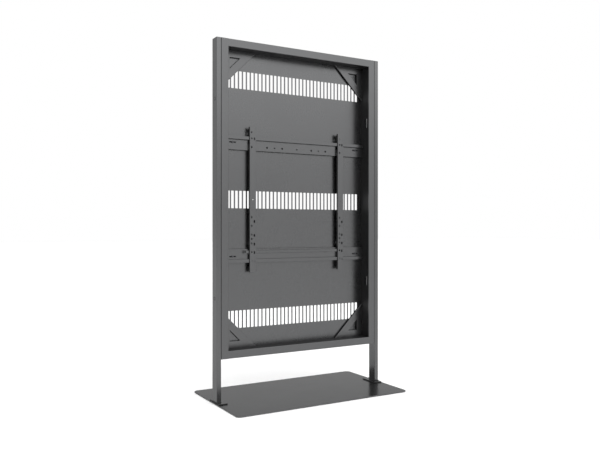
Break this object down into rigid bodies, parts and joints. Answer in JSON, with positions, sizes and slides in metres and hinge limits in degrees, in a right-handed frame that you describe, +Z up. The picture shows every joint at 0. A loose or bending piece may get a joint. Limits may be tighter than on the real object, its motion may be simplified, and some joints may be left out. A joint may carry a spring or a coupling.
{
  "type": "touchscreen kiosk",
  "caption": "Free-standing portrait display kiosk frame on a flat base: slim posts, open bay, vented back panel and sliding display brackets with a lock bar.",
  "frame": {"origin": "on the floor under the middle of the base plate", "axes": "+Z up; +Y from the open front to the back panel; +X to the viewer's right"},
  "size_m": [1.1, 0.627, 2.018],
  "materials": {
    "frame_paint": "dark grey satin powder coat on steel",
    "base_paint": "dark grey semi-gloss coat on steel plate",
    "mount_paint": "dark grey satin powder coat on folded steel",
    "dark_fasteners": "black-oxide steel screws and bolts",
    "dark_plated_steel": "dark zinc-plated steel",
    "stop_plating": "zinc-plated steel",
    "plug_plastic": "matt black moulded plastic",
    "pad_rubber": "matt black rubber"
  },
  "bodies": {
    "structure": {"base_plate": "base_paint", "base_pads": "pad_rubber", "foot_bolts": "dark_fasteners", "back_panel": "frame_paint", "back_panel_screws": "dark_fasteners", "top_member": "frame_paint", "bottom_member": "frame_paint", "top_left_gusset": "frame_paint", "top_right_gusset": "frame_paint", "bottom_right_gusset": "frame_paint", "bottom_left_gusset": "frame_paint", "upper_rail": "mount_paint", "lower_rail": "mount_paint", "rail_spacers": "dark_plated_steel", "rail_bolts": "dark_fasteners", "left_foot_plate": "frame_paint", "left_post": "frame_paint", "left_post_cap": "frame_paint", "left_post_plugs": "plug_plastic", "left_stile": "frame_paint", "left_frame_bolts": "dark_fasteners", "left_frame_spacers": "dark_plated_steel", "left_display_stops": "stop_plating", "right_foot_plate": "frame_paint", "right_post": "frame_paint", "right_post_cap": "frame_paint", "right_post_plugs": "plug_plastic", "right_stile": "frame_paint", "right_frame_bolts": "dark_fasteners", "right_frame_spacers": "dark_plated_steel", "right_display_stops": "stop_plating"},
    "left_bracket": {"left_bracket": "mount_paint", "left_lock_screw": "dark_fasteners"},
    "right_bracket": {"right_bracket": "mount_paint", "right_lock_screw": "dark_fasteners"},
    "left_lock_plate": {"left_lock_plate": "dark_plated_steel"},
    "right_lock_plate": {"right_lock_plate": "dark_plated_steel"},
    "lock_bar": {"lock_bar": "dark_plated_steel"}
  },
  "joints": [
    {"name": "left_bracket_slide", "type": "slide", "parent": "structure", "child": "left_bracket", "axis": [1, 0, 0], "range_m": [-0.06, 0.2]},
    {"name": "right_bracket_slide", "type": "slide", "parent": "structure", "child": "right_bracket", "axis": [1, 0, 0], "range_m": [-0.2, 0.06]},
    {"name": "left_lock_plate_slide", "type": "slide", "parent": "left_bracket", "child": "left_lock_plate", "axis": [0, 0, -1], "range_m": [0, 0.018]},
    {"name": "right_lock_plate_slide", "type": "slide", "parent": "right_bracket", "child": "right_lock_plate", "axis": [0, 0, -1], "range_m": [0, 0.018]},
    {"name": "lock_bar_slide", "type": "slide", "parent": "structure", "child": "lock_bar", "axis": [-1, 0, 0], "range_m": [0, 0.115]}
  ]
}
